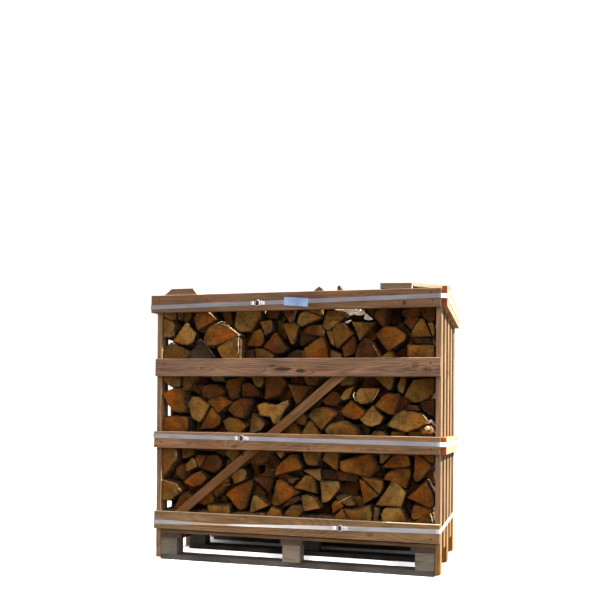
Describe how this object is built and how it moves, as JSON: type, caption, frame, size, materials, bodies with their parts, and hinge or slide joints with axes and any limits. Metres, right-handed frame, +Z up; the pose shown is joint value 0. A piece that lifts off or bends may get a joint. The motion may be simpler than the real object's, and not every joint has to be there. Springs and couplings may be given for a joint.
{
  "type": "crate of firewood",
  "caption": "Slatted timber crate on a wooden pallet, filled with stacked split oak firewood with the ends showing, bound by flat straps with wire buckles, with loose boards on top.",
  "frame": {"origin": "on the ground under the middle of the whole object", "axes": "+X along the front to the right as seen from the front, +Y from the front to the back, +Z up"},
  "size_m": [1.3004, 0.8507, 1.202],
  "materials": {
    "board_wood": "rough sawn, weathered",
    "pallet_wood": "rough sawn, grey",
    "log_wood": "split and sawn, with bark",
    "strap_plastic": "woven band",
    "buckle_steel": "bright wire",
    "label_card": "blank card"
  },
  "bodies": {
    "root": {"bottom_board_front": "pallet_wood", "block_front_left": "pallet_wood", "block_front_middle": "pallet_wood", "block_front_right": "pallet_wood", "bottom_board_middle": "pallet_wood", "block_middle_left": "pallet_wood", "block_middle_middle": "pallet_wood", "block_middle_right": "pallet_wood", "bottom_board_back": "pallet_wood", "block_back_left": "pallet_wood", "block_back_middle": "pallet_wood", "block_back_right": "pallet_wood", "stringer_left": "pallet_wood", "stringer_middle": "pallet_wood", "stringer_right": "pallet_wood", "deck_board_1": "pallet_wood", "deck_board_2": "pallet_wood", "deck_board_3": "pallet_wood", "deck_board_4": "pallet_wood", "deck_board_5": "pallet_wood", "front_slat_bottom": "board_wood", "back_slat_bottom": "board_wood", "front_slat_lower": "board_wood", "back_slat_lower": "board_wood", "front_slat_upper": "board_wood", "back_slat_upper": "board_wood", "front_slat_top": "board_wood", "back_slat_top": "board_wood", "side_board_left_1": "board_wood", "side_board_left_2": "board_wood", "side_board_left_3": "board_wood", "side_board_left_4": "board_wood", "side_board_left_5": "board_wood", "side_board_right_1": "board_wood", "side_board_right_2": "board_wood", "side_board_right_3": "board_wood", "side_board_right_4": "board_wood", "side_board_right_5": "board_wood", "side_slat_left_top": "board_wood", "side_slat_right_middle": "board_wood", "side_slat_right_top": "board_wood", "brace_front": "board_wood", "logs_front": "log_wood", "brace_back": "board_wood", "logs_back": "log_wood", "top_board_left": "board_wood", "top_board_right": "board_wood", "top_board_corner": "board_wood", "strap_bottom": "strap_plastic", "buckle_bottom": "buckle_steel", "strap_middle": "strap_plastic", "buckle_middle": "buckle_steel", "strap_top": "strap_plastic", "buckle_top": "buckle_steel", "label": "label_card"}
  },
  "joints": []
}
